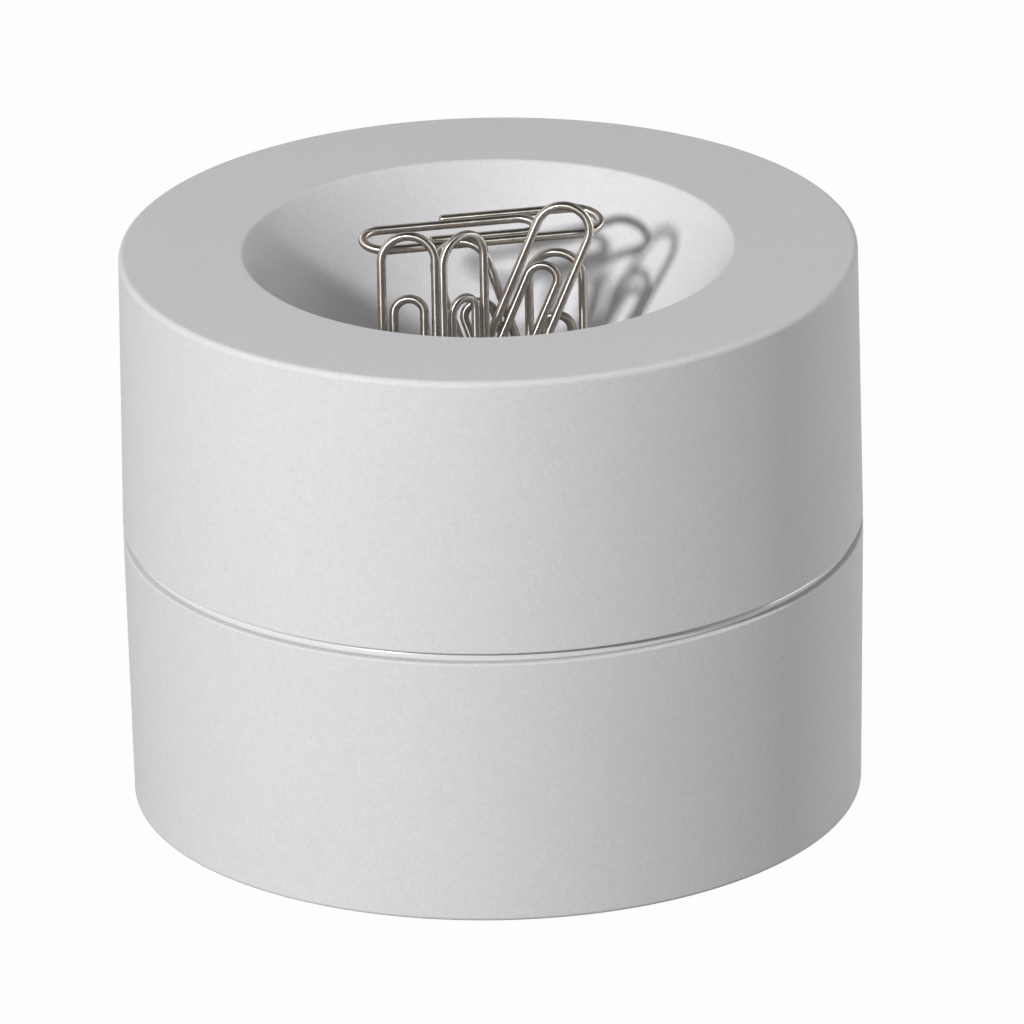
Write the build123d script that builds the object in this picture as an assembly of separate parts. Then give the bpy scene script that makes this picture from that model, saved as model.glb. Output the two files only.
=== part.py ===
from build123d import *
import os
from math import hypot, radians, sin

# A round desk holder for paper clips: a head with a bowl, on a base, with a magnet under the bowl's floor.
# Millimetres, +Z up, the origin on the desk under the middle of the holder, the viewer in front at -Y.

# Outer body
seam_diameter = 73.0  # where head and base meet
head_draft = 0.2  # the head's radius narrows by this from the seam up to the flat rim
base_draft = 0.5  # the base's radius narrows by this from the seam down to its lower edge
overall_height = 57.0  # desk to flat rim
foot_stand = 0.4  # the base's lower edge above the desk
base_height = 27.3
groove_height = 1.0  # gap between base and head that the ring's bead fills
shell_wall = 2.2
top_edge_radius = 0.6
seam_edge_radius = 0.25
foot_edge_radius = 0.4

# Bowl
bowl_opening = 48.2
bowl_depth = 26.5
bowl_floor_diameter = 18.0  # where the wall's slope would meet the floor
bowl_bend_radius = 3.0  # between the sloping wall and the floor
bowl_wall = 2.0
lip_radius = 0.45

# Magnet and what holds it
magnet_diameter = 20.0
magnet_height = 5.0
magnet_cover = 1.2  # bowl floor left over the magnet
keeper_height = 1.5
socket_wall = 2.0
socket_clearance = 0.1
cap_thickness = 2.4
cap_margin = 0.4  # cap beyond the screw posts
collar_height = 1.0
collar_wall = 1.2
collar_clearance = 0.1
post_diameter = 5.0
post_gap = 0.6  # collar to screw posts
post_count = 3
post_start_angle = 90

# Coupling ring
ring_wall = 1.8
spigot_height = 5.0
seat_spare = 0.4  # seats are this much deeper than the spigots
ring_clearance = 0.03  # ring in the base, which it stays in
head_clearance = 0.12  # head on the ring, which it lifts off
bead_recess = 0.5  # bead behind the outer walls
bead_edge_radius = 0.35

# Base
base_floor = 2.0
ballast_height = 3.8
ballast_clearance = 0.1
ballast_side_gap = 1.5
hub_diameter = 8.0  # locates the ballast disc
hub_clearance = 0.1
plate_thickness = 2.2
plate_recess = 0.5  # plate above the base's lower edge
plate_clearance = 0.25
boss_diameter = 6.0
boss_inset = 1.2  # bosses in from the base's wall
boss_count = 4  # screws round the plate, with a rubber pad between each two
pad_diameter = 9.0
pad_seat = 0.8  # rubber pads sunk into the plate
pad_clearance = 0.1
pad_inset = 1.5  # pads in from the plate's edge
pad_edge_radius = 0.4

# Screws
screw_diameter = 2.2
screw_length = 6.0  # under the head
screw_head_diameter = 4.2
screw_head_height = 1.0
screw_clearance = 0.05
head_recess = 1.2  # depth of the countersunk seats for the heads
slot_width = 0.7
slot_length = 2.6
slot_depth = 0.5
pilot_spare = 0.5

# Paper clips
clip_length = 25.0
clip_width = 6.2
wire_diameter = 0.9
leg_gap = 0.25  # between neighbouring legs of one clip
inner_drop = 6.6  # outer loop's top down to the inner loop's top
outer_tail = 9.0  # height of the outer free end above the clip's foot
inner_tail = 7.0
wire_end_radius = 0.2
clip_gap = 0.3  # between neighbouring clips
clip_stand = 0.2  # standing clips above the bowl's floor

# Where the clips stand, lean and lie
clip_row_y = -0.4  # plane of the left and leaning clips; the front clip is before it, two rows behind it
left_clip_x = -7.85
left_clip_rise = 3.2  # clings to the middle clip, above the floor
middle_clip_x = 4.15  # its foot, from which it leans to the left
middle_clip_rise = 3.1
middle_clip_angle = -18.0
right_clip_x = 6.6
right_clip_rise = 0.3  # clear of the bend at the floor's edge
front_clip_x = -2.45
front_clip_turn = 40.0
front_clip_rise = 4.3
leaning_clip_x = -1.0
leaning_clip_rise = 7.75
leaning_clip_angle = 22.4
flat_clip_x = -12.8  # its foot
flat_clip_y = 3.3
flat_clip_rise = 1.05  # above the standing height of a clip
flat_clip_turn = 14.0
flat_clip_climb = -1.2
flat_clip_roll = 7.5

# Levels and radii that follow
seam_radius = seam_diameter / 2
top_radius = seam_radius - head_draft
foot_radius = seam_radius - base_draft
base_top = foot_stand + base_height
head_bottom = base_top + groove_height
seat_radius = seam_radius - shell_wall
seat_depth = spigot_height + seat_spare
bowl_floor_z = overall_height - bowl_depth
bowl_radius = bowl_opening / 2
magnet_radius = magnet_diameter / 2
magnet_top = bowl_floor_z - magnet_cover
keeper_top = magnet_top - magnet_height
cap_top = keeper_top - keeper_height
cap_bottom = cap_top - cap_thickness
socket_radius = magnet_radius + socket_clearance
socket_outer = socket_radius + socket_wall
collar_inner = socket_outer + collar_clearance
collar_outer = collar_inner + collar_wall
post_circle = collar_outer + post_gap + post_diameter / 2
cap_radius = post_circle + post_diameter / 2 + cap_margin
plate_bottom = foot_stand + plate_recess
plate_top = plate_bottom + plate_thickness
floor_bottom = plate_top + ballast_height + ballast_clearance
floor_top = floor_bottom + base_floor
skirt_radius = foot_radius - shell_wall
plate_radius = skirt_radius - plate_clearance
boss_circle = plate_radius - boss_inset - boss_diameter / 2
ballast_radius = boss_circle - boss_diameter / 2 - ballast_side_gap
pad_top = plate_bottom + pad_seat
pad_circle = plate_radius - pad_inset - pad_diameter / 2
pad_start_angle = 180 / boss_count
row_pitch = wire_diameter + clip_gap
middle_clip_y = clip_row_y + row_pitch
right_clip_y = middle_clip_y + row_pitch
front_clip_reach = (clip_width - wire_diameter) / 2 * sin(radians(front_clip_turn))
front_clip_y = clip_row_y - row_pitch - front_clip_reach
clip_foot_z = bowl_floor_z + clip_stand
tool_reach = 5.0  # cutting solids run this far past the faces they cut


def turned(*edges):
    """Solid of revolution about Z from a closed outline of edges drawn as (radius, height)."""
    return revolve(Plane.XZ * make_face(Curve() + list(edges)), Axis.Z)


def turned_polygon(*points):
    """Solid of revolution about Z from corner points (radius, height)."""
    return turned(Polyline(*points, close=True))


def disc(radius, low, high):
    """Upright round disc between two heights."""
    return Pos(0, 0, low) * Cylinder(radius, high - low, align=(Align.CENTER, Align.CENTER, Align.MIN))


def on_posts(shape):
    """Copies of a shape at the head's screw posts."""
    return [place * shape for place in PolarLocations(post_circle, post_count, post_start_angle)]


def on_bosses(shape):
    """Copies of a shape at the base's screw bosses."""
    return [place * shape for place in PolarLocations(boss_circle, boss_count)]


def on_pads(shape):
    """Copies of a shape at the rubber pads, half way between the bosses."""
    return [place * shape for place in PolarLocations(pad_circle, boss_count, pad_start_angle)]


def rim_edges(shape, radius, height, tolerance=0.01):
    """The full circles of a shape that have this radius and lie at this height."""
    circles = shape.edges().filter_by(GeomType.CIRCLE)
    return [
        edge
        for edge in circles
        if abs(edge.radius - radius) < tolerance and abs(edge.center().Z - height) < tolerance
    ]


def wall_radius(low, high, height):
    """Radius at a height of a wall that runs straight between two (radius, height) points."""
    share = (height - low[1]) / (high[1] - low[1])
    return low[0] + share * (high[0] - low[0])


def bowl_form(grow):
    """The bowl's space, or its outer form when grown: floor, bend and a wall that slopes past the rim."""
    low, above = bowl_floor_z - grow, overall_height + tool_reach
    slope = (bowl_opening - bowl_floor_diameter) / 2 / bowl_depth
    corner = bowl_floor_diameter / 2 + grow * (hypot(1, slope) - slope)
    wide = corner + (above - low) * slope
    form = turned_polygon((0, low), (corner, low), (wide, above), (0, above))
    return fillet(rim_edges(form, corner, low), bowl_bend_radius + grow)


def make_head_shell():
    """Outer wall, flat rim and bowl in one moulding, with the magnet's socket and screw posts below."""
    low, high = (seam_radius, head_bottom), (top_radius, overall_height)
    ceiling = overall_height - shell_wall
    inner_top = wall_radius(low, high, ceiling) - shell_wall
    body = turned_polygon((0, head_bottom), low, high, (0, overall_height))
    foot = (seat_radius, head_bottom)
    cavity = turned_polygon((0, head_bottom), foot, (inner_top, ceiling), (0, ceiling))
    seat = disc(seat_radius, head_bottom, head_bottom + seat_depth)
    socket = disc(socket_outer, cap_top, bowl_floor_z)
    post = disc(post_diameter / 2, cap_top, overall_height)
    pilot = screw_pilot(cap_top, cap_bottom)
    bowl = bowl_form(bowl_wall) & disc(seam_radius, bowl_floor_z - bowl_wall, ceiling)
    shell = body - cavity - seat + bowl
    shell += [socket] + [p - bowl_form(bowl_wall / 2) for p in on_posts(post)]
    shell -= bowl_form(0)
    shell -= disc(socket_radius, cap_top - tool_reach, magnet_top)
    shell -= on_posts(pilot)
    shell = fillet(rim_edges(shell, top_radius, overall_height), top_edge_radius)
    shell = fillet(rim_edges(shell, bowl_radius, overall_height), lip_radius)
    return fillet(rim_edges(shell, seam_radius, head_bottom), seam_edge_radius)


def make_base_shell():
    """Outer wall with a compartment above its floor and room for the ballast below it."""
    low, high = (foot_radius, foot_stand), (seam_radius, base_top)
    inner_low = wall_radius(low, high, floor_top) - shell_wall
    body = turned_polygon((0, foot_stand), low, high, (0, base_top))
    room = turned_polygon((0, floor_top), (inner_low, floor_top), (seat_radius, base_top), (0, base_top))
    boss = disc(boss_diameter / 2, plate_top, floor_bottom)
    pilot = screw_pilot(plate_top, plate_bottom)
    shell = body - room - disc(skirt_radius, foot_stand, floor_bottom)
    shell -= disc(seat_radius, base_top - seat_depth, base_top)
    shell += on_bosses(boss)
    shell += disc(hub_diameter / 2, plate_top, floor_bottom)
    shell -= on_bosses(pilot)
    shell = fillet(rim_edges(shell, seam_radius, base_top), seam_edge_radius)
    return fillet(rim_edges(shell, foot_radius, foot_stand), foot_edge_radius)


def make_coupling_ring():
    """Ring with a lower spigot in the base, a bead in the groove and an upper spigot in the head."""
    inner = seat_radius - ring_wall
    in_base = seat_radius - ring_clearance
    in_head = seat_radius - head_clearance
    bead = seam_radius - bead_recess
    bottom = base_top - spigot_height
    top = head_bottom + spigot_height
    ring = turned_polygon(
        (inner, bottom),
        (in_base, bottom),
        (in_base, base_top),
        (bead, base_top),
        (bead, head_bottom),
        (in_head, head_bottom),
        (in_head, top),
        (inner, top),
    )
    bead_edges = rim_edges(ring, bead, base_top) + rim_edges(ring, bead, head_bottom)
    return fillet(bead_edges, bead_edge_radius)


def make_magnet():
    """Ferrite disc under the thin middle of the bowl's floor."""
    return disc(magnet_radius, keeper_top, magnet_top)


def make_keeper_plate():
    """Steel plate that closes the magnet's field underneath."""
    return disc(magnet_radius, cap_top, keeper_top)


def make_magnet_cap():
    """Round cover under the socket, with a collar round it and seats for three screws."""
    cap = disc(cap_radius, cap_bottom, cap_top)
    cap += disc(collar_outer, cap_top, cap_top + collar_height) - disc(
        collar_inner, cap_top, cap_top + collar_height
    )
    return cap - on_posts(screw_passage(cap_bottom, cap_top))


def screw_passage(low, high):
    """Hole for a screw from below, with a wider seat for its head."""
    hole = disc(screw_diameter / 2 + screw_clearance, low, high)
    return hole + disc(screw_head_diameter / 2 + screw_clearance, low, low + head_recess)


def screw_pilot(start, cover_bottom):
    """Blind hole from a height up past the end of a screw whose cover has its underside at cover_bottom."""
    end = cover_bottom + head_recess + screw_length + pilot_spare
    return disc(screw_diameter / 2 + screw_clearance, start, end)


def make_screw(low):
    """Cross-head screw driven upwards into a cover whose underside is at the height low."""
    under_head = low + head_recess
    head_low = under_head - screw_head_height
    slot = Pos(0, 0, head_low) * Box(slot_length, slot_width, 2 * slot_depth)
    screw = disc(screw_head_diameter / 2, head_low, under_head)
    screw += disc(screw_diameter / 2, under_head, under_head + screw_length)
    return screw - [slot, Rot(0, 0, 90) * slot]


def make_ballast_disc():
    """Steel weight on the bottom plate, located by the hub of the base's floor."""
    return disc(ballast_radius, plate_top, plate_top + ballast_height) - disc(
        hub_diameter / 2 + hub_clearance, plate_top, floor_bottom
    )


def make_base_plate():
    """Round bottom cover with seats for the screws' heads and for the rubber pads."""
    plate = disc(plate_radius, plate_bottom, plate_top)
    plate -= on_bosses(screw_passage(plate_bottom, plate_top))
    pocket = disc(pad_diameter / 2 + pad_clearance, plate_bottom, pad_top)
    return plate - on_pads(pocket)


def make_pads():
    """Rubber pads that the holder stands on."""
    pad = disc(pad_diameter / 2, 0, pad_top)
    pad = fillet(rim_edges(pad, pad_diameter / 2, 0), pad_edge_radius)
    return on_pads(pad)


def make_clip():
    """Wire clip along Z, its foot at the origin: an outer loop, a bend at the foot and an inner loop."""
    wire = wire_diameter / 2
    outer = clip_width / 2 - wire
    pitch = wire_diameter + leg_gap
    inner = outer - pitch
    foot_centre, foot_bend = pitch / 2, outer - pitch / 2
    top_z = clip_length - wire - outer
    foot_z = wire + foot_bend
    inner_z = clip_length - wire - inner_drop - inner
    upright = [
        Line((-outer, outer_tail), (-outer, top_z)),
        CenterArc((0, top_z), outer, 180, -180),
        Line((outer, top_z), (outer, foot_z)),
        CenterArc((foot_centre, foot_z), foot_bend, 0, -180),
        Line((-inner, foot_z), (-inner, inner_z)),
        CenterArc((0, inner_z), inner, 180, -180),
        Line((inner, inner_z), (inner, inner_tail)),
    ]
    path = Plane.XZ * (Curve() + upright)
    clip = sweep(Pos(-outer, 0, outer_tail) * Circle(wire), path)
    ends = [edge for face in clip.faces().filter_by(GeomType.PLANE) for edge in face.edges()]
    return fillet(ends, wire_end_radius)


def stand(clip, x, y, rise, turn=0, lean=0):
    """A clip with its foot at x, y, raised above the standing height, turned in plan, leaning to +X."""
    return Pos(x, y, clip_foot_z + rise) * Rot(0, 0, turn) * Rot(0, lean, 0) * clip


def lay_flat(clip):
    """The clip that lies across the top, its outer loop to the right, climbing and rolled a little."""
    height = clip_foot_z + clip_length + flat_clip_rise
    lying = Rot(0, 90 - flat_clip_climb, 0) * Rot(0, 0, flat_clip_roll - 90) * clip
    return Pos(flat_clip_x, flat_clip_y, height) * Rot(0, 0, flat_clip_turn) * lying


def make_clips():
    """The clips in the bowl by name."""
    clip = make_clip()
    return {
        "paper_clip_flat": lay_flat(clip),
        "paper_clip_left": stand(clip, left_clip_x, clip_row_y, left_clip_rise),
        "paper_clip_middle": stand(
            clip, middle_clip_x, middle_clip_y, middle_clip_rise, lean=middle_clip_angle
        ),
        "paper_clip_right": stand(clip, right_clip_x, right_clip_y, right_clip_rise),
        "paper_clip_front": stand(clip, front_clip_x, front_clip_y, front_clip_rise, front_clip_turn),
        "paper_clip_leaning": stand(
            clip, leaning_clip_x, clip_row_y, leaning_clip_rise, lean=leaning_clip_angle
        ),
    }


def main():
    """Builds every piece and writes each to its own file."""
    pieces = {
        "head_shell": make_head_shell(),
        "magnet": make_magnet(),
        "keeper_plate": make_keeper_plate(),
        "magnet_cap": make_magnet_cap(),
        "cap_screws": Compound(children=on_posts(make_screw(cap_bottom))),
        "coupling_ring": make_coupling_ring(),
        "base_shell": make_base_shell(),
        "ballast_disc": make_ballast_disc(),
        "base_plate": make_base_plate(),
        "plate_screws": Compound(children=on_bosses(make_screw(plate_bottom))),
    }
    for number, pad in enumerate(make_pads(), 1):
        pieces[f"foot_{number}"] = pad
    pieces.update(make_clips())
    os.makedirs("parts", exist_ok=True)
    for name, piece in pieces.items():
        export_step(piece, f"parts/{name}.step")


main()
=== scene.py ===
from math import cos, pi, radians, sin

import bpy
import numpy as np
from bpy.props import FloatProperty, FloatVectorProperty, IntProperty, PointerProperty
from mathutils import Euler, Matrix, Vector


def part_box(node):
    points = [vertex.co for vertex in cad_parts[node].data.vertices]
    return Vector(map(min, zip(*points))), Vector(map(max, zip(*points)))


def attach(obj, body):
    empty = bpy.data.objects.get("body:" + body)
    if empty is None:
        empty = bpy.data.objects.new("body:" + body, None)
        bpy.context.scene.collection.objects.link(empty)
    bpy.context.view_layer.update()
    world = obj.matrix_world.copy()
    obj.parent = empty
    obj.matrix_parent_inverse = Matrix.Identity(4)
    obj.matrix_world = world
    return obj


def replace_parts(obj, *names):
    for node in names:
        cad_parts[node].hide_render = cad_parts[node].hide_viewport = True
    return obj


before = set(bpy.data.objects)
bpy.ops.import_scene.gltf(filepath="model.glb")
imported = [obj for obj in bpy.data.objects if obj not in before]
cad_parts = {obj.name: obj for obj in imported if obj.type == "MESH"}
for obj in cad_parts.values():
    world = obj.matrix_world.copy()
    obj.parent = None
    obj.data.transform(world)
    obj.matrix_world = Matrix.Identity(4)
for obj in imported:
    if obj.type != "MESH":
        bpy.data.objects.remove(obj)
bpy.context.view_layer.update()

bl_info = {
    "name": "Paper clip holder",
    "version": (1, 0, 0),
    "blender": (4, 5, 0),
    "location": "View3D > Sidebar > Clip holder",
    "description": "Dresses the frame of a round magnetic paper clip holder with its finished surfaces",
    "category": "Add Mesh",
}

MM = 0.001
CLIP_NAMES = ("flat", "left", "middle", "right", "front", "leaning")
FOOT_NAMES = ("foot_1", "foot_2", "foot_3", "foot_4")

# Screws round the magnet's cap, from the angle of the first, and round the bottom plate
POST_COUNT = 3
POST_START = pi / 2
BOSS_COUNT = 4

# Steps of the finer surfaces
ARC_STEPS = 9
POST_STEPS = 48
PAD_STEPS = 96
FLOOR_STEPS = 96
WIRE_STEPS = 28
WIRE_BEND_STEPS = 49
WIRE_END_STEPS = 6


def length(name, description, millimetres):
    """A size in metres that a user can change, its default written in millimetres."""
    return FloatProperty(
        name=name, description=description, default=millimetres * MM, min=0, precision=5, unit="LENGTH"
    )


def angle(name, description, degrees):
    """An angle that a user can change, its default written in degrees."""
    return FloatProperty(name=name, description=description, default=radians(degrees), unit="ROTATION")


def colour(name, description, red, green, blue):
    """A linear colour that a user can change."""
    return FloatVectorProperty(
        name=name, description=description, default=(red, green, blue), min=0, max=1, subtype="COLOR"
    )


def number(name, description, default):
    """A plain number that a user can change."""
    return FloatProperty(name=name, description=description, default=default)


class HolderBodySizes(bpy.types.PropertyGroup):
    """Sizes of the head, the base and the ring between them."""

    seam_radius: length("Seam radius", "Outer radius where head and base meet", 36.495)
    head_draft: length("Head draft", "How much the head narrows from the seam to its rim", 0.2)
    base_draft: length("Base draft", "How much the base narrows from the seam to its foot", 0.5)
    shell_wall: length("Shell wall", "Thickness of the outer walls", 2.2)
    groove: length("Groove", "Height of the gap that the ring's bead fills", 1.0)
    top_edge: length("Top edge", "Rounding of the head's upper outer edge", 0.6)
    seam_edge: length("Seam edge", "Rounding of the edges beside the groove", 0.18)
    foot_edge: length("Foot edge", "Rounding of the base's lower edge", 0.4)
    inner_edge: length("Inner edge", "Rounding of the mouldings' inner edges", 0.2)
    bowl_radius: length("Bowl radius", "Radius of the bowl at the rim", 24.1)
    bowl_floor_radius: length("Bowl floor radius", "Where the wall's slope would meet the floor", 9.0)
    bowl_depth: length("Bowl depth", "Depth of the bowl below the rim", 26.5)
    bowl_bend: length("Bowl bend", "Rounding between the bowl's sloping wall and its floor", 3.0)
    bowl_wall: length("Bowl wall", "Thickness of the bowl's wall", 2.0)
    lip: length("Lip", "Rounding between the flat rim and the bowl", 0.45)
    seat_depth: length("Seat depth", "Depth of the seats that take the ring's spigots", 5.4)
    spigot: length("Spigot", "Height of the ring's spigots", 5.0)
    ring_wall: length("Ring wall", "Thickness of the ring's spigots", 1.8)
    base_clearance: length("Base clearance", "Radial clearance of the ring in the base", 0.03)
    head_clearance: length("Head clearance", "Radial clearance of the ring in the head", 0.12)
    bead_recess: length("Bead recess", "How far the bead lies behind the outer walls", 0.5)
    bead_edge: length("Bead edge", "Rounding of the bead's lower edge, and half that of its upper", 0.3)
    base_floor: length("Base floor", "Thickness of the compartment's floor", 2.0)
    turn_steps: IntProperty(
        name="Turn steps", description="Faces round a large turned surface", default=240, min=24
    )


class HolderInnerSizes(bpy.types.PropertyGroup):
    """Sizes of the pieces inside and underneath."""

    socket_clearance: length("Socket clearance", "Radial clearance of the magnet in its socket", 0.1)
    socket_wall: length("Socket wall", "Thickness of the magnet's socket", 2.0)
    post_radius: length("Post radius", "Radius of the head's screw posts", 2.5)
    post_circle: length("Post circle", "Radius of the circle of the screw posts", 16.5)
    boss_radius: length("Boss radius", "Radius of the base's screw bosses", 3.0)
    boss_circle: length("Boss circle", "Radius of the circle of the screw bosses", 29.35)
    pilot_radius: length("Pilot radius", "Radius of the holes that the screws bite into", 1.15)
    pilot_depth: length("Pilot depth", "Depth of those holes", 5.3)
    hub_radius: length("Hub radius", "Radius of the hub that locates the ballast", 4.0)
    hub_clearance: length("Hub clearance", "Radial clearance of the ballast on its hub", 0.1)
    ballast_clearance: length("Ballast clearance", "Room between the ballast and the floor over it", 0.1)
    small_edge: length("Small edge", "Broken edge of the magnet, the steel discs and the posts", 0.3)
    pad_edge: length("Pad edge", "Rounding of the rubber pads", 0.4)


class HolderClipSizes(bpy.types.PropertyGroup):
    """Sizes of one wire clip, and the angles at which clips stand, lean and lie."""

    clip_length: length("Length", "Length of a clip", 24.99)
    clip_width: length("Width", "Width of a clip", 6.19)
    wire: length("Wire", "Diameter of the wire", 0.895)
    leg_gap: length("Leg gap", "Gap between neighbouring legs", 0.255)
    inner_drop: length("Inner drop", "Outer loop's top down to the inner loop's top", 6.6)
    outer_tail: length("Outer tail", "Height of the outer free end above the clip's foot", 9.0)
    inner_tail: length("Inner tail", "Height of the inner free end above the clip's foot", 7.0)
    wire_end: length("Wire end", "Rounding of the wire's cut ends", 0.2)
    front_turn: angle("Front turn", "How far the front clip is turned in plan", 40)
    lean: angle("Lean", "How far the leaning clip leans to the right", 22.4)
    middle_lean: angle("Middle lean", "How far the middle clip leans to the right", -18)
    flat_turn: angle("Flat turn", "How far the flat clip is turned in plan", 14)
    flat_climb: angle("Flat climb", "How far the flat clip climbs to the right", -1.2)
    flat_roll: angle("Flat roll", "How far the flat clip rolls about its length", 7.5)


class HolderFinishes(bpy.types.PropertyGroup):
    """Colours of the finishes."""

    body: colour("Body", "Light grey satin plastic of head and base", 0.64, 0.641, 0.657)
    bead: colour("Bead", "Light grey polished plastic of the ring", 0.66, 0.66, 0.67)
    inner: colour("Inner", "Mid grey plastic of the covers", 0.30, 0.30, 0.305)
    ferrite: colour("Ferrite", "Charcoal of the magnet", 0.035, 0.035, 0.037)
    zinc: colour("Zinc", "Zinc plate of the screws and the keeper", 0.62, 0.61, 0.58)
    steel: colour("Steel", "Turned steel of the ballast", 0.46, 0.455, 0.44)
    rubber: colour("Rubber", "Dark rubber of the pads", 0.045, 0.045, 0.047)
    nickel: colour("Nickel", "Nickel plate of the clips", 0.66, 0.615, 0.56)


class HolderStage(bpy.types.PropertyGroup):
    """Camera, lights and floor."""

    camera_distance: length("Camera distance", "Camera to the middle of the holder", 2000)
    camera_height: length("Camera target", "Height of the point that the camera looks at", 28.7)
    camera_elevation: angle("Camera elevation", "Height of the view above the horizon", 21.885)
    camera_roll: angle("Camera roll", "Turn of the picture about the view", 1.092)
    camera_lens: number("Camera lens", "Focal length in millimetres", 712.8)
    camera_shift_x: number("Shift X", "Picture's shift to the side", 0.0185)
    camera_shift_y: number("Shift Y", "Picture's shift upwards", 0.0026)
    key_azimuth: angle("Key azimuth", "How far the key light stands to the left of the camera", 36)
    key_elevation: angle("Key elevation", "Height of the key light above the horizon", 27)
    key_distance: length("Key distance", "Key light to the holder", 1200)
    key_size: length("Key size", "Side of the key light", 100)
    key_power: number("Key power", "Power of the key light in watts", 13.0)
    fill_azimuth: angle("Fill azimuth", "How far the fill light stands to the left of the camera", -106)
    fill_elevation: angle("Fill elevation", "Height of the fill light above the horizon", 5)
    fill_distance: length("Fill distance", "Fill light to the holder", 1000)
    fill_size: length("Fill size", "Side of the fill light", 500)
    fill_power: number("Fill power", "Power of the fill light in watts", 4.8)
    ambient: number("Ambient", "Level of the soft light from all round", 0.33)
    ambient_colour: colour("Ambient colour", "Tint of the soft light from all round", 1.0, 0.985, 0.97)
    dark_azimuth: angle("Dark azimuth", "How far the room's dark end lies to the left of the camera", -50)
    dark_elevation: angle("Dark elevation", "Height of the middle of the room's dark end", 60)
    dark_reach: angle("Dark reach", "How far the dark end reaches from its middle", 95)
    dark_level: number("Dark level", "Brightness of the dark end, where white is 1", 0.03)
    floor_radius: length("Floor radius", "Radius of the pale floor", 3000)
    floor_tone: number("Floor tone", "Share of the light that the floor throws back on the holder", 0.25)
    shadow_share: number("Shadow share", "How much of the floor's own shading the camera sees", 0.02)


def sizes(context):
    """The scene's settings by group."""
    return context.scene.clip_holder


class HolderSettings(bpy.types.PropertyGroup):
    """All settings of the holder."""

    body: PointerProperty(type=HolderBodySizes)
    inner: PointerProperty(type=HolderInnerSizes)
    clip: PointerProperty(type=HolderClipSizes)
    finish: PointerProperty(type=HolderFinishes)
    stage: PointerProperty(type=HolderStage)


# Surfaces


def unit(vector):
    """A vector, or each of an array of vectors, at length 1."""
    return vector / np.linalg.norm(vector, axis=-1, keepdims=True)


def corner_arc(before, corner, after, radius):
    """Arc tangent to both sides of a corner, its centre on the bisector at radius / sin(half angle)."""
    to_before, to_after = unit(before - corner), unit(after - corner)
    half = np.arccos(np.clip(to_before @ to_after, -1, 1)) / 2
    centre = corner + unit(to_before + to_after) * radius / sin(half)
    start = corner + to_before * radius / np.tan(half) - centre
    side = np.sign(to_before[1] * to_after[0] - to_before[0] * to_after[1])
    turn = np.linspace(0, side * (pi - 2 * half), ARC_STEPS)
    across = np.array([-start[1], start[0]])
    return centre + np.cos(turn)[:, None] * start + np.sin(turn)[:, None] * across


def rounded(corners, closed=False):
    """Outline through (radius, height, rounding) corners, each rounding above 0 a tangent arc."""
    points = np.array([corner[:2] for corner in corners], float)
    before, after = np.roll(points, 1, axis=0), np.roll(points, -1, axis=0)
    runs = [
        corner_arc(before[i], points[i], after[i], corner[2]) if corner[2] > 0 else points[i : i + 1]
        for i, corner in enumerate(corners)
    ]
    return guarded(np.concatenate(runs), closed)


def guarded(outline, closed=False, guard=0.08 * MM):
    """The outline with two more points near the ends of each long run, which keep its shading flat."""
    ends = np.roll(outline, -1, axis=0)
    span = np.linalg.norm(ends - outline, axis=1)
    long = span > 6 * guard
    long[-1] &= closed
    step = unit(ends - outline + 1e-15) * guard
    triples = np.stack([outline, outline + step, ends - step], axis=1)
    keep = np.stack([np.ones(len(outline), bool), long, long], axis=1)
    return triples[keep]


def wrapped_quads(rows, columns, closed):
    """Faces of a grid whose columns wrap round, and whose rows do too if it is closed."""
    row = np.arange(rows if closed else rows - 1)[:, None]
    column = np.arange(columns)[None]
    beyond = (row + 1) % rows
    after = (column + 1) % columns
    here, there = row * columns, beyond * columns
    corners = (here + column, here + after, there + after, there + column)
    return np.stack(np.broadcast_arrays(*corners), axis=-1).reshape(-1, 4)


def capped(grid):
    """Points and blocks of faces of a tube grid (row, column, xyz) whose end rows are single poles."""
    columns = grid.shape[1]
    rings = grid[1:-1]
    points = np.concatenate([rings.reshape(-1, 3), grid[0, :1], grid[-1, :1]])
    first = np.arange(columns)
    after = (first + 1) % columns
    last = (len(rings) - 1) * columns
    pole = np.full(columns, len(points) - 2)
    low = np.stack([pole, after, first], axis=1)
    high = np.stack([last + first, last + after, pole + 1], axis=1)
    return points, [wrapped_quads(len(rings), columns, False), low, high]


def turned_grid(outline, steps):
    """Surface of revolution as a grid: an outline point (r, z) at the turn t is (r cos t, r sin t, z)."""
    turn = np.linspace(0, 2 * pi, steps, endpoint=False)
    radius, height = outline[:, :1], outline[:, 1:]
    return np.stack(np.broadcast_arrays(radius * np.cos(turn), radius * np.sin(turn), height), axis=-1)


def turned_solid(outline, steps):
    """Points and blocks of faces of a turned solid whose outline starts and ends on the axis."""
    return capped(turned_grid(outline, steps))


def turned_ring(outline, steps):
    """Points and blocks of faces of a turned ring whose outline is closed and stays off the axis."""
    grid = turned_grid(outline, steps)
    return grid.reshape(-1, 3), [wrapped_quads(len(outline), steps, True)]


def joined(*surfaces):
    """Several surfaces as one: their points in a row, and each block of faces counted on from its own."""
    starts = np.cumsum([0] + [len(points) for points, _ in surfaces[:-1]])
    blocks = [block + start for (_, faces), start in zip(surfaces, starts) for block in faces]
    return np.concatenate([points for points, _ in surfaces]), blocks


def spread(surface, circle, count, start):
    """Copies of a surface at even angles on a circle about Z, each turned to face outwards."""
    points, faces = surface
    turns = start + np.arange(count) * 2 * pi / count
    copies = []
    for turn in turns:
        turning = np.array(Matrix.Rotation(turn, 3, "Z"))
        copies.append(((points + (circle, 0, 0)) @ turning.T, faces))
    return copies


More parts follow.
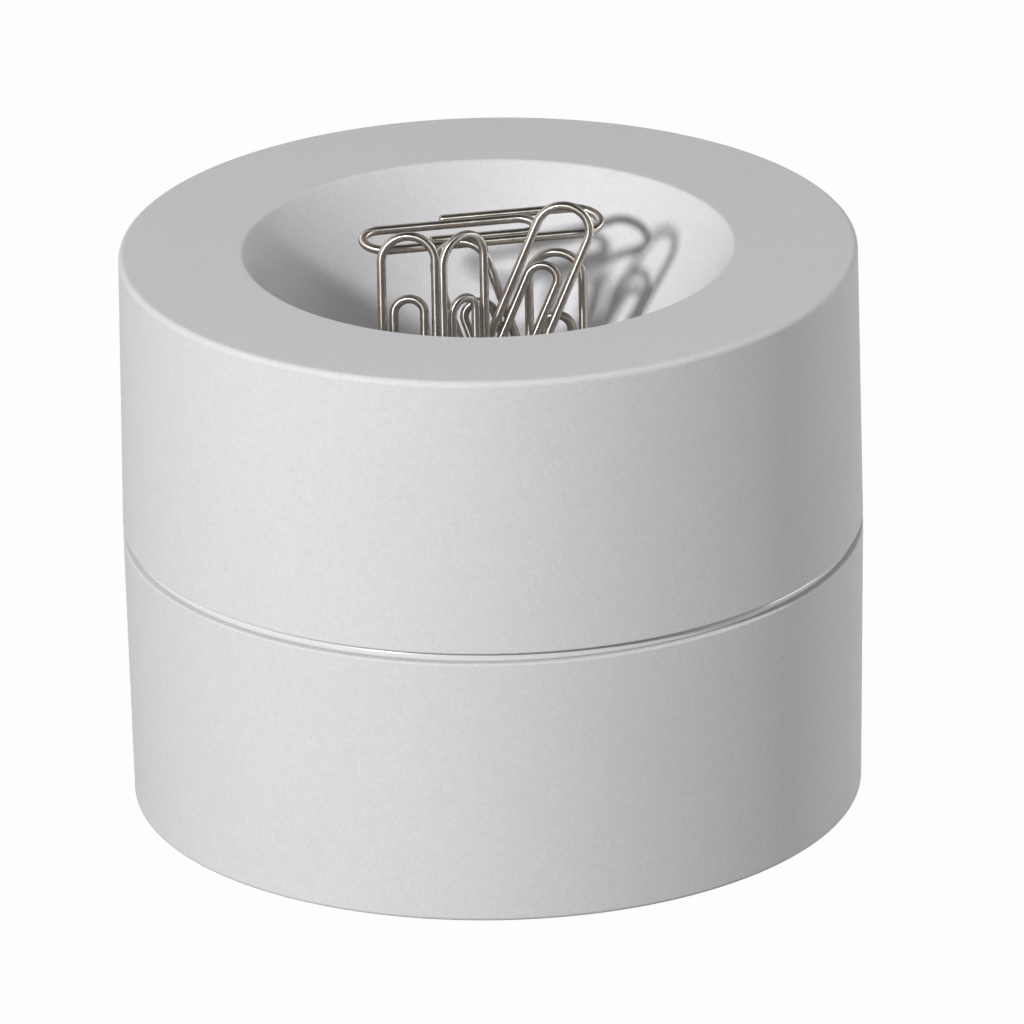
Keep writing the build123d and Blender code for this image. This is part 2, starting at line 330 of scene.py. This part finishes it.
def new_piece(name, surface, finish, body, slot, *nodes):
    """A smooth mesh object at the origin that rides on a body and stands for CAD nodes."""
    points, blocks = surface
    faces = [face for block in blocks for face in block.tolist()]
    mesh = bpy.data.meshes.new(name)
    mesh.from_pydata(points.tolist(), [], faces)
    mesh.shade_smooth()
    mesh.materials.append(finish)
    piece = bpy.data.objects.new(name, mesh)
    bpy.context.scene.collection.objects.link(piece)
    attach(piece, body)
    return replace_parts(piece, *nodes)


def dress_node(node, finish):
    """A CAD node that keeps its own shape gets a finish."""
    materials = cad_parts[node].data.materials
    materials.clear()
    materials.append(finish)


# Finishes


class Finish:
    """A material under construction: one shader, its coordinates, and short ways to add and link nodes."""

    def __init__(self, name):
        self.material = bpy.data.materials.new(name)
        self.material.use_nodes = True
        self.tree = self.material.node_tree
        self.shader = self.tree.nodes["Principled BSDF"]
        self.coordinates = self.tree.nodes.new("ShaderNodeTexCoord")

    def set(self, **values):
        """Constant values on the shader's own sockets, with _ for a space in a socket's name."""
        for name, value in values.items():
            self.shader.inputs[name.replace("_", " ").title().replace("Ior", "IOR")].default_value = value

    def node(self, kind, inputs=None, **settings):
        """A new node with settings, and with inputs that are values or other nodes' outputs."""
        node = self.tree.nodes.new("ShaderNode" + kind)
        for name, value in settings.items():
            setattr(node, name, value)
        for name, value in (inputs or {}).items():
            if isinstance(value, bpy.types.NodeSocket):
                self.tree.links.new(value, node.inputs[name])
            else:
                node.inputs[name].default_value = value
        return node

    def noise(self, size, detail=2.0, stretch=(1, 1, 1), source="Object"):
        """Noise whose blotches are about a size across, in its coordinates' units, stretched if asked."""
        place = self.node("Mapping", {"Vector": self.coordinates.outputs[source], "Scale": stretch})
        inputs = {"Vector": place.outputs[0], "Scale": 1 / size, "Detail": detail}
        return self.node("TexNoise", inputs).outputs["Fac"]

    def spread(self, value, low, high):
        """A noise value, which lies mostly from 0.3 to 0.7, mapped to a range."""
        inputs = {"Value": value, "From Min": 0.3, "From Max": 0.7, "To Min": low, "To Max": high}
        return self.node("MapRange", inputs).outputs["Result"]

    def tint(self, base, *parts):
        """Base colour lightened and darkened by (noise, share) parts: each times 1 - share to 1 + share."""
        tone = None
        for value, share in parts:
            factor = self.spread(value, 1 - share, 1 + share)
            if tone is not None:
                factor = self.node("Math", {0: tone, 1: factor}, operation="MULTIPLY").outputs[0]
            tone = factor
        scaled = self.node("VectorMath", {0: tuple(base), "Scale": tone}, operation="SCALE")
        self.tree.links.new(scaled.outputs[0], self.shader.inputs["Base Color"])

    def rough(self, value, low, high):
        """Roughness that follows a noise between two levels."""
        self.tree.links.new(self.spread(value, low, high), self.shader.inputs["Roughness"])

    def bump(self, *parts):
        """Surface relief from (height, depth in metres, strength) parts, laid over each other."""
        normal = None
        for height, depth, strength in parts:
            inputs = {"Height": height, "Distance": depth, "Strength": strength}
            if normal is not None:
                inputs["Normal"] = normal
            normal = self.node("Bump", inputs).outputs[0]
        self.tree.links.new(normal, self.shader.inputs["Normal"])


def satin_plastic(name, base):
    """Moulded plastic with a fine spark-eroded grain, faint clouds in its tone and a soft sheen."""
    finish = Finish(name)
    grain = finish.noise(0.35 * MM, 3.0)
    peel = finish.noise(1.0 * MM, 2.0)
    clouds = finish.noise(14 * MM, 3.0)
    finish.tint(base, (clouds, 0.008), (peel, 0.016), (grain, 0.04))
    finish.rough(grain, 0.56, 0.7)
    finish.bump((peel, 0.02 * MM, 0.25), (grain, 0.03 * MM, 0.35))
    finish.set(specular_ior_level=0.3)
    return finish.material


def polished_plastic(name, base):
    """Polished plastic of the ring under a clear gloss, with a faint drift in its tone."""
    finish = Finish(name)
    drift = finish.noise(6 * MM, 2.0)
    specks = finish.noise(0.5 * MM, 2.0)
    finish.tint(base, (drift, 0.02))
    finish.rough(specks, 0.18, 0.24)
    finish.bump((drift, 0.02 * MM, 0.1))
    finish.set(coat_weight=0.4, coat_roughness=0.06)
    return finish.material


def plain_plastic(name, base):
    """Plain moulded plastic of the covers: matt, with flow clouds and a coarse grain."""
    finish = Finish(name)
    flow = finish.noise(9 * MM, 4.0, stretch=(1, 0.35, 1))
    grain = finish.noise(0.6 * MM, 3.0)
    finish.tint(base, (flow, 0.05), (grain, 0.03))
    finish.rough(flow, 0.5, 0.66)
    finish.bump((grain, 0.05 * MM, 0.4))
    return finish.material


def ground_ferrite(name, base):
    """Sintered ferrite: dark, speckled, with the grinding lines of its flat faces."""
    finish = Finish(name)
    specks = finish.noise(0.4 * MM, 4.0)
    lines = finish.noise(0.3 * MM, 2.0, stretch=(0.02, 1, 1))
    finish.tint(base, (specks, 0.25), (lines, 0.15))
    finish.rough(lines, 0.4, 0.62)
    finish.bump((lines, 0.02 * MM, 0.4), (specks, 0.03 * MM, 0.3))
    return finish.material


def zinc_plate(name, base):
    """Zinc-plated steel: cloudy bright metal with fine scuffs."""
    finish = Finish(name)
    clouds = finish.noise(2.5 * MM, 4.0)
    scuffs = finish.noise(0.25 * MM, 2.0, stretch=(1, 0.15, 1))
    finish.tint(base, (clouds, 0.08), (scuffs, 0.04))
    finish.rough(clouds, 0.26, 0.42)
    finish.bump((scuffs, 0.01 * MM, 0.25))
    finish.set(metallic=1.0)
    return finish.material


def turned_steel(name, base):
    """Turned steel: fine rings about the axis left by the tool, under a thin film of oil."""
    finish = Finish(name)
    flat = finish.node("Mapping", {"Vector": finish.coordinates.outputs["Object"], "Scale": (1, 1, 0)})
    rings = finish.node(
        "TexWave",
        {"Vector": flat.outputs[0], "Scale": 0.16 / (0.25 * MM), "Distortion": 0.6, "Detail": 2.0},
        wave_type="RINGS",
        rings_direction="Z",
    ).outputs["Fac"]
    film = finish.noise(7 * MM, 3.0)
    finish.tint(base, (film, 0.08), (rings, 0.05))
    finish.rough(film, 0.28, 0.4)
    finish.bump((rings, 0.01 * MM, 0.35))
    finish.set(metallic=1.0)
    return finish.material


def pad_rubber(name, base):
    """Dark rubber: matt and fine grained, a little dusty."""
    finish = Finish(name)
    dust = finish.noise(1.2 * MM, 4.0)
    grain = finish.noise(0.3 * MM, 2.0)
    finish.tint(base, (dust, 0.25), (grain, 0.1))
    finish.rough(dust, 0.72, 0.9)
    finish.bump((grain, 0.04 * MM, 0.5))
    return finish.material


def nickel_wire(name, base):
    """Nickel-plated drawn wire: faint lines and long highlights along it, darker edges, a cloudy plate."""
    finish = Finish(name)
    lines = finish.noise(0.12, 2.0, stretch=(0.25, 1, 1), source="UV")
    clouds = finish.noise(1.8 * MM, 3.0)
    finish.tint(base, (clouds, 0.07), (lines, 0.11))
    finish.rough(clouds, 0.29, 0.35)
    finish.bump((lines, 0.008 * MM, 0.2))
    finish.set(metallic=1.0, anisotropic=0.97, specular_tint=(0.2, 0.17, 0.15, 1))
    along = finish.node("Tangent", direction_type="UV_MAP", uv_map="wire")
    finish.tree.links.new(along.outputs[0], finish.shader.inputs["Tangent"])
    return finish.material


def finish_of(kind, name, base):
    """The finish of that name, made the first time it is asked for."""
    return bpy.data.materials.get(name) or kind(name, base)


# Pieces


def wall_radius(low, high, height):
    """Radius at a height of a wall that runs straight between two (radius, height) points."""
    return low[0] + (height - low[1]) / (high[1] - low[1]) * (high[0] - low[0])


def screw_post(radius, foot, top, inner):
    """Outline of a screw post that hangs down from top to its foot, with a blind hole in its lower face."""
    bore_top = foot + inner.pilot_depth
    edge = inner.small_edge
    return rounded(
        [
            (0, bore_top, 0),
            (inner.pilot_radius, bore_top, edge),
            (inner.pilot_radius, foot, edge),
            (radius, foot, edge),
            (radius, top, 0),
            (0, top, 0),
        ]
    )


class HeadShell(bpy.types.Operator):
    """Head: outer wall, flat rim, bowl and magnet's socket, as one turned surface with three screw posts"""

    bl_idname = "clip_holder.head_shell"
    bl_label = "Head"

    def execute(self, context):
        body, inner = sizes(context).body, sizes(context).inner
        cap_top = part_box("head_shell")[0].z
        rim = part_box("head_shell")[1].z
        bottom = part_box("base_shell")[1].z + body.groove
        seam, top = (body.seam_radius, bottom), (body.seam_radius - body.head_draft, rim)
        seat = body.seam_radius - body.shell_wall
        ceiling = rim - body.shell_wall
        inner_top = wall_radius(seam, top, ceiling) - body.shell_wall
        step_z = bottom + body.seat_depth
        step = wall_radius((seat, bottom), (inner_top, ceiling), step_z)
        floor = rim - body.bowl_depth
        magnet_low, magnet_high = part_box("magnet")
        socket = magnet_high.x + inner.socket_clearance
        socket_out = socket + inner.socket_wall
        edge = body.inner_edge
        slope = (body.bowl_radius - body.bowl_floor_radius) / body.bowl_depth
        under = body.bowl_floor_radius + body.bowl_wall * np.hypot(1, slope)
        socket_top = floor + (socket_out - under) / slope

        outline = rounded(
            [
                (0, magnet_high.z, 0),
                (socket, magnet_high.z, edge),
                (socket, cap_top, edge),
                (socket_out, cap_top, edge),
                (socket_out, socket_top, edge),
                (under + (ceiling - floor) * slope, ceiling, edge),
                (inner_top, ceiling, edge),
                (step, step_z, 0),
                (seat, step_z, 0),
                (seat, bottom, edge),
                (*seam, body.seam_edge),
                (*top, body.top_edge),
                (body.bowl_radius, rim, body.lip),
                (body.bowl_floor_radius, floor, body.bowl_bend),
                (0, floor, 0),
            ]
        )
        shell = turned_solid(outline, body.turn_steps)

        post = turned_solid(screw_post(inner.post_radius, cap_top, rim, inner), POST_STEPS)
        posts = spread(post, inner.post_circle, POST_COUNT, POST_START)
        # The posts end within the thickness of the bowl's sloping wall
        for points, _ in posts:
            out = np.hypot(points[:, 0], points[:, 1])
            within_wall = floor + (out - (under + body.bowl_floor_radius) / 2) / slope
            points[:, 2] = np.minimum(points[:, 2], within_wall)
        finish = finish_of(satin_plastic, "satin_grey_plastic", sizes(context).finish.body)
        new_piece("head_moulding", joined(shell, *posts), finish, "head", "body_plastic", "head_shell")
        return {"FINISHED"}


class BaseShell(bpy.types.Operator):
    """Base: outer wall, seat for the ring, compartment and the hub and bosses under its floor"""

    bl_idname = "clip_holder.base_shell"
    bl_label = "Base"

    def execute(self, context):
        body, inner = sizes(context).body, sizes(context).inner
        foot_z, top_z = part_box("base_shell")[0].z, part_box("base_shell")[1].z
        plate_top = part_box("base_plate")[1].z
        skirt_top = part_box("ballast_disc")[1].z + inner.ballast_clearance
        floor = skirt_top + body.base_floor
        foot, seam = (body.seam_radius - body.base_draft, foot_z), (body.seam_radius, top_z)
        skirt = foot[0] - body.shell_wall
        seat = body.seam_radius - body.shell_wall
        step_z = top_z - body.seat_depth
        inner_low = wall_radius(foot, seam, floor) - body.shell_wall
        step = wall_radius((inner_low, floor), (seat, top_z), step_z)
        edge = body.inner_edge
        outline = rounded(
            [
                (0, plate_top, 0),
                (inner.hub_radius, plate_top, edge),
                (inner.hub_radius, skirt_top, edge),
                (skirt, skirt_top, edge),
                (skirt, foot_z, edge),
                (*foot, body.foot_edge),
                (*seam, body.seam_edge),
                (seat, top_z, edge),
                (seat, step_z, 0),
                (step, step_z, 0),
                (inner_low, floor, 4 * edge),
                (0, floor, 0),
            ]
        )
        shell = turned_solid(outline, body.turn_steps)
        within_floor = skirt_top + body.base_floor / 2
        boss = turned_solid(screw_post(inner.boss_radius, plate_top, within_floor, inner), POST_STEPS)
        bosses = spread(boss, inner.boss_circle, BOSS_COUNT, 0)
        finish = finish_of(satin_plastic, "satin_grey_plastic", sizes(context).finish.body)
        new_piece("base_moulding", joined(shell, *bosses), finish, "base", "body_plastic", "base_shell")
        return {"FINISHED"}


class CouplingRing(bpy.types.Operator):
    """Ring between head and base: two spigots and the rounded bead that shows in the groove"""

    bl_idname = "clip_holder.coupling_ring"
    bl_label = "Coupling ring"

    def execute(self, context):
        body = sizes(context).body
        low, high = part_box("coupling_ring")[0].z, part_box("coupling_ring")[1].z
        bead_low, bead_high = low + body.spigot, high - body.spigot
        seat = body.seam_radius - body.shell_wall
        inner, bead = seat - body.ring_wall, body.seam_radius - body.bead_recess
        in_base, in_head = seat - body.base_clearance, seat - body.head_clearance
        edge = body.inner_edge
        outline = rounded(
            [
                (inner, low, edge),
                (in_base, low, 2 * edge),
                (in_base, bead_low, 0),
                (bead, bead_low, body.bead_edge),
                (bead, bead_high, 2 * body.bead_edge),
                (in_head, bead_high, 0),
                (in_head, high, 2 * edge),
                (inner, high, edge),
            ],
            closed=True,
        )
        finish = finish_of(polished_plastic, "polished_grey_plastic", sizes(context).finish.bead)
        ring = turned_ring(outline, body.turn_steps)
        new_piece("ring_moulding", ring, finish, "base", "ring_plastic", "coupling_ring")
        return {"FINISHED"}


class MagnetAndSteel(bpy.types.Operator):
    """Magnet and keeper under the bowl's floor, and the ballast in the foot, as discs with broken edges"""

    bl_idname = "clip_holder.magnet_and_steel"
    bl_label = "Magnet, keeper and ballast"

    def execute(self, context):
        inner, colours = sizes(context).inner, sizes(context).finish
        steps = sizes(context).body.turn_steps
        magnet_finish = finish_of(ground_ferrite, "ground_ferrite", colours.ferrite)
        keeper_finish = finish_of(zinc_plate, "zinc_plate", colours.zinc)
        ballast_finish = finish_of(turned_steel, "turned_steel", colours.steel)
        magnet = turned_solid(self.disc("magnet", inner.small_edge), steps)
        keeper = turned_solid(self.disc("keeper_plate", inner.small_edge), steps)
        new_piece("magnet_puck", magnet, magnet_finish, "head", "ferrite", "magnet")
        new_piece("keeper_disc", keeper, keeper_finish, "head", "keeper_steel", "keeper_plate")
        low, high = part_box("ballast_disc")
        hole = inner.hub_radius + inner.hub_clearance
        corners = ((hole, low.z), (high.x, low.z), (high.x, high.z), (hole, high.z))
        outline = rounded([(*corner, inner.small_edge) for corner in corners], closed=True)
        ballast = turned_ring(outline, steps)
        new_piece("ballast_weight", ballast, ballast_finish, "base", "ballast_steel", "ballast_disc")
        return {"FINISHED"}

    @staticmethod
    def disc(node, edge):
        """Outline of a node that is a plain disc, with rounded edges."""
        low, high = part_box(node)
        return rounded([(0, low.z, 0), (high.x, low.z, edge), (high.x, high.z, edge), (0, high.z, 0)])


class CoversAndScrews(bpy.types.Operator):
    """Magnet's cap, bottom plate and screws, which keep their CAD shapes and get their finishes"""

    bl_idname = "clip_holder.covers_and_screws"
    bl_label = "Covers and screws"

    def execute(self, context):
        colours = sizes(context).finish
        cover = finish_of(plain_plastic, "plain_grey_plastic", colours.inner)
        zinc = finish_of(zinc_plate, "zinc_plate", colours.zinc)
        for node in ("magnet_cap", "base_plate"):
            dress_node(node, cover)
        for node in ("cap_screws", "plate_screws"):
            dress_node(node, zinc)
        return {"FINISHED"}


class RubberPads(bpy.types.Operator):
    """Rubber pads under the base, as turned discs with a rounded lower edge"""

    bl_idname = "clip_holder.rubber_pads"
    bl_label = "Rubber pads"

    def execute(self, context):
        edge = sizes(context).inner.pad_edge
        finish = finish_of(pad_rubber, "dark_rubber", sizes(context).finish.rubber)
        for node in FOOT_NAMES:
            low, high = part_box(node)
            middle, radius = (low + high) / 2, (high.x - low.x) / 2
            rim = [(radius, low.z, edge), (radius, high.z, edge / 2)]
            outline = rounded([(0, low.z, 0), *rim, (0, high.z, 0)])
            points, faces = turned_solid(outline, PAD_STEPS)
            pad = (points + (middle.x, middle.y, 0), faces)
            new_piece(node.replace("foot", "pad"), pad, finish, "base", "pad_rubber", node)
        return {"FINISHED"}


class PaperClips(bpy.types.Operator):
    """Wire paper clips in the bowl, each a round wire carried along its two loops and foot bend"""

    bl_idname = "clip_holder.paper_clips"
    bl_label = "Paper clips"

    def execute(self, context):
        clip = sizes(context).clip
        finish = finish_of(nickel_wire, "nickel_wire", sizes(context).finish.nickel)
        upright = Matrix.Identity(3)
        rolled = Euler((0, 0, clip.flat_roll - pi / 2)).to_matrix()
        lying = Euler((0, pi / 2 - clip.flat_climb, 0)).to_matrix() @ rolled
        turns = {name: upright for name in CLIP_NAMES}
        turns["front"] = Euler((0, 0, clip.front_turn)).to_matrix()
        turns["leaning"] = Euler((0, clip.lean, 0)).to_matrix()
        turns["middle"] = Euler((0, clip.middle_lean, 0)).to_matrix()
        turns["flat"] = Euler((0, 0, clip.flat_turn)).to_matrix() @ lying
        grid = self.wire_grid(clip)
        for name in CLIP_NAMES:
            node, body = f"paper_clip_{name}", f"clip_{name}"
            low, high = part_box(node)
            points, faces = capped(grid @ np.array(turns[name]).T)
            points += (low + high) / 2 - Vector((points.min(axis=0) + points.max(axis=0)) / 2)
            piece = new_piece(f"{body}_wire", (points, faces), finish, body, "clip_wire", node)
            self.unwrap(piece.data, grid)
        return {"FINISHED"}

    @staticmethod
    def centreline(clip):
        """Middle of the wire in the clip's own plane (x, z): legs joined by half circles, foot at z = 0."""
        wire = clip.wire / 2
        outer = clip.clip_width / 2 - wire
        pitch = clip.wire + clip.leg_gap
        inner = outer - pitch
        bend = outer - pitch / 2
        top, foot = clip.clip_length - wire - outer, wire + bend
        inner_top = clip.clip_length - wire - clip.inner_drop - inner
        half = np.linspace(0, pi, WIRE_BEND_STEPS)[:, None]
        over = np.concatenate([-np.cos(half), np.sin(half)], axis=1)
        under = np.concatenate([np.cos(half), -np.sin(half)], axis=1)
        runs = [
            [(-outer, clip.outer_tail)],
            (0, top) + outer * over,
            (pitch / 2, foot) + bend * under,
            (0, inner_top) + inner * over,
            [(inner, clip.inner_tail)],
        ]
        return np.concatenate(runs)

    def wire_grid(self, clip):
        """Round section carried along the centreline, with rounded cut ends that close to poles."""
        line = self.centreline(clip)
        along = unit(np.concatenate([line[1:2] - line[:1], line[2:] - line[:-2], line[-1:] - line[-2:-1]]))
        quarter = np.linspace(0, pi / 2, WIRE_END_STEPS)
        rise = clip.wire_end * (1 - np.sin(quarter))
        narrow = clip.wire / 2 - clip.wire_end * (1 - np.cos(quarter))
        ends = WIRE_END_STEPS + 1
        slide = np.concatenate([[0], rise[::-1]])
        start = line[:1] + along[:1] * slide[:, None]
        stop = line[-1:] - along[-1:] * slide[::-1, None]
        middle = np.concatenate([start, line[1:-1], stop])
        first_way, last_way = np.repeat(along[:1], ends, 0), np.repeat(along[-1:], ends, 0)
        forward = np.concatenate([first_way, along[1:-1], last_way])
        taper = np.concatenate([[0], narrow[::-1]])
        radius = np.concatenate([taper, np.full(len(line) - 2, clip.wire / 2), taper[::-1]])
        turn = np.linspace(0, 2 * pi, WIRE_STEPS, endpoint=False)
        across = radius[:, None] * np.cos(turn)
        x = middle[:, :1] + across * forward[:, 1:]
        z = middle[:, 1:] - across * forward[:, :1]
        y = radius[:, None] * np.sin(turn)
        return np.stack([x, y, z], axis=-1)

    @staticmethod
    def unwrap(mesh, grid):
        """UV map of the wire: U is the way along it in millimetres, V the share of the way round."""
        rows, columns = grid.shape[0] - 2, grid.shape[1]
        middle = grid[1:-1].mean(axis=1)
        along = np.concatenate([[0], np.cumsum(np.linalg.norm(np.diff(middle, axis=0), axis=1))]) / MM
        u = np.stack([along[:-1], along[:-1], along[1:], along[1:]], axis=-1)
        u = np.repeat(u[:, None], columns, axis=1)
        share = np.arange(columns) / columns
        v = np.stack([share, share + 1 / columns, share + 1 / columns, share], axis=-1)
        v = np.repeat(v[None], rows - 1, axis=0)
        sides = np.stack([u, v], axis=-1).reshape(-1, 2)
        caps = np.zeros((len(mesh.loops) - len(sides), 2))
        mesh.uv_layers.new(name="wire").data.foreach_set("uv", np.concatenate([sides, caps]).ravel())


# Stage


def direction(azimuth, elevation):
    """Unit vector towards a point left of the camera by azimuth and above the horizon by elevation."""
    return Vector((-sin(azimuth) * cos(elevation), -cos(azimuth) * cos(elevation), sin(elevation)))


def rays(tree, *kinds):
    """Output that is 1 for rays of any of these kinds, as the light path names them."""
    path = tree.nodes.new("ShaderNodeLightPath")
    either = path.outputs[kinds[0]]
    for kind in kinds[1:]:
        largest = tree.nodes.new("ShaderNodeMath")
        largest.operation = "MAXIMUM"
        tree.links.new(either, largest.inputs[0])
        tree.links.new(path.outputs[kind], largest.inputs[1])
        either = largest.outputs[0]
    return either


def blend(tree, share, first, second):
    """Shader that goes from the first to the second as the share goes from 0 to 1."""
    mix = tree.nodes.new("ShaderNodeMixShader")
    for socket, output in zip(mix.inputs, (share, first, second)):
        tree.links.new(output, socket)
    return mix.outputs[0]


class StudioStage(bpy.types.Operator):
    """Pale floor, white surroundings, key light from the front left, low fill from the right, and camera"""

    bl_idname = "clip_holder.studio_stage"
    bl_label = "Stage"

    def execute(self, context):
        stage = sizes(context).stage
        context.scene.view_settings.view_transform = "Standard"
        self.floor(stage)
        self.surroundings(context, stage)
        self.softbox(context, "key", stage)
        self.softbox(context, "fill", stage)
        self.camera(context, stage)
        return {"FINISHED"}

    @staticmethod
    def floor(stage):
        """Round floor at desk height: white but for a share of its own shading, and clear from below."""
        edge = turned_grid(np.array([[stage.floor_radius, 0]]), FLOOR_STEPS)[0]
        mesh = bpy.data.meshes.new("floor")
        mesh.from_pydata(edge.tolist(), [], [list(range(len(edge)))])
        material = bpy.data.materials.new("pale_floor")
        material.use_nodes = True
        tree = material.node_tree
        tree.nodes.clear()
        paint = tree.nodes.new("ShaderNodeBsdfDiffuse")
        paint.inputs["Color"].default_value = (stage.floor_tone, stage.floor_tone, stage.floor_tone, 1)
        glow = tree.nodes.new("ShaderNodeEmission")
        share = tree.nodes.new("ShaderNodeMath")
        share.operation = "MULTIPLY"
        share.inputs[1].default_value = 1 - stage.shadow_share
        seen = rays(tree, "Is Camera Ray", "Is Glossy Ray", "Is Transmission Ray")
        tree.links.new(seen, share.inputs[0])
        above = blend(tree, share.outputs[0], paint.outputs[0], glow.outputs[0])
        side = tree.nodes.new("ShaderNodeNewGeometry")
        clear = tree.nodes.new("ShaderNodeBsdfTransparent")
        output = tree.nodes.new("ShaderNodeOutputMaterial")
        tree.links.new(blend(tree, side.outputs["Backfacing"], above, clear.outputs[0]), output.inputs[0])
        mesh.materials.append(material)
        floor = bpy.data.objects.new("floor", mesh)
        bpy.context.scene.collection.objects.link(floor)

    @staticmethod
    def surroundings(context, stage):
        """World: white to the camera, a soft light on the pieces, a room with a dark end in reflections."""
        world = bpy.data.worlds.new("white_studio")
        world.use_nodes = True
        tree = world.node_tree
        soft = tree.nodes["Background"]
        soft.inputs["Color"].default_value = (*stage.ambient_colour, 1)
        soft.inputs["Strength"].default_value = stage.ambient
        white = tree.nodes.new("ShaderNodeBackground")
        white.inputs["Color"].default_value = (1, 1, 1, 1)
        room = tree.nodes.new("ShaderNodeBackground")
        room.inputs["Color"].default_value = (1, 1, 1, 1)
        ways = tree.nodes.new("ShaderNodeTexCoord")
        nearness = tree.nodes.new("ShaderNodeVectorMath")
        nearness.operation = "DOT_PRODUCT"
        nearness.inputs[1].default_value = direction(stage.dark_azimuth, stage.dark_elevation)
        tree.links.new(ways.outputs["Generated"], nearness.inputs[0])
        fade = tree.nodes.new("ShaderNodeMapRange")
        fade.interpolation_type = "SMOOTHSTEP"
        fade.inputs["From Min"].default_value = cos(stage.dark_reach)
        fade.inputs["From Max"].default_value = cos(stage.dark_reach / 2)
        fade.inputs["To Min"].default_value = 1
        fade.inputs["To Max"].default_value = stage.dark_level
        tree.links.new(nearness.outputs["Value"], fade.inputs["Value"])
        tree.links.new(fade.outputs["Result"], room.inputs["Strength"])
        mirrored = rays(tree, "Is Glossy Ray", "Is Transmission Ray")
        lit = blend(tree, mirrored, soft.outputs[0], room.outputs[0])
        seen = blend(tree, rays(tree, "Is Camera Ray"), lit, white.outputs[0])
        tree.links.new(seen, tree.nodes["World Output"].inputs[0])
        context.scene.world = world

    @staticmethod
    def softbox(context, name, stage):
        """Square softbox, the stage's key or fill light, aimed at the middle of the holder."""
        light = bpy.data.lights.new(name, "AREA")
        light.size = getattr(stage, f"{name}_size")
        light.energy = getattr(stage, f"{name}_power")
        towards = direction(getattr(stage, f"{name}_azimuth"), getattr(stage, f"{name}_elevation"))
        lamp = bpy.data.objects.new(name, light)
        lamp.location = towards * getattr(stage, f"{name}_distance") + Vector((0, 0, stage.camera_height))
        lamp.rotation_euler = towards.to_track_quat("Z", "Y").to_euler()
        context.scene.collection.objects.link(lamp)

    @staticmethod
    def camera(context, stage):
        """Long lens in front of the holder, looking down on it, rolled and shifted to frame the picture."""
        lens = bpy.data.cameras.new("camera")
        lens.lens = stage.camera_lens
        lens.shift_x = stage.camera_shift_x
        lens.shift_y = stage.camera_shift_y
        towards = direction(0, stage.camera_elevation)
        camera = bpy.data.objects.new("camera", lens)
        camera.location = towards * stage.camera_distance + Vector((0, 0, stage.camera_height))
        aim = (-towards).to_track_quat("-Z", "Y").to_matrix()
        camera.rotation_euler = (aim @ Matrix.Rotation(-stage.camera_roll, 3, "Z")).to_euler()
        context.scene.collection.objects.link(camera)
        context.scene.camera = camera


PIECES = (
    HeadShell,
    BaseShell,
    CouplingRing,
    MagnetAndSteel,
    CoversAndScrews,
    RubberPads,
    PaperClips,
    StudioStage,
)


class HolderPanel(bpy.types.Panel):
    """Sidebar panel with the holder's pieces and settings"""

    bl_idname = "VIEW3D_PT_clip_holder"
    bl_label = "Clip holder"
    bl_space_type = "VIEW_3D"
    bl_region_type = "UI"
    bl_category = "Clip holder"

    def draw(self, context):
        for piece in PIECES:
            self.layout.operator(piece.bl_idname)
        settings = sizes(context)
        for group in (settings.body, settings.inner, settings.clip, settings.finish, settings.stage):
            box = self.layout.box()
            for name in group.bl_rna.properties.keys():
                if name not in ("rna_type", "name"):
                    box.prop(group, name)


CLASSES = (
    HolderBodySizes,
    HolderInnerSizes,
    HolderClipSizes,
    HolderFinishes,
    HolderStage,
    HolderSettings,
    *PIECES,
    HolderPanel,
)


def register():
    for item in CLASSES:
        bpy.utils.register_class(item)
    bpy.types.Scene.clip_holder = PointerProperty(type=HolderSettings)


def unregister():
    del bpy.types.Scene.clip_holder
    for item in reversed(CLASSES):
        bpy.utils.unregister_class(item)


def main():
    """Builds every piece and the stage."""
    register()
    for piece in PIECES:
        group, name = piece.bl_idname.split(".")
        getattr(getattr(bpy.ops, group), name)()


if __name__ == "__main__":
    main()
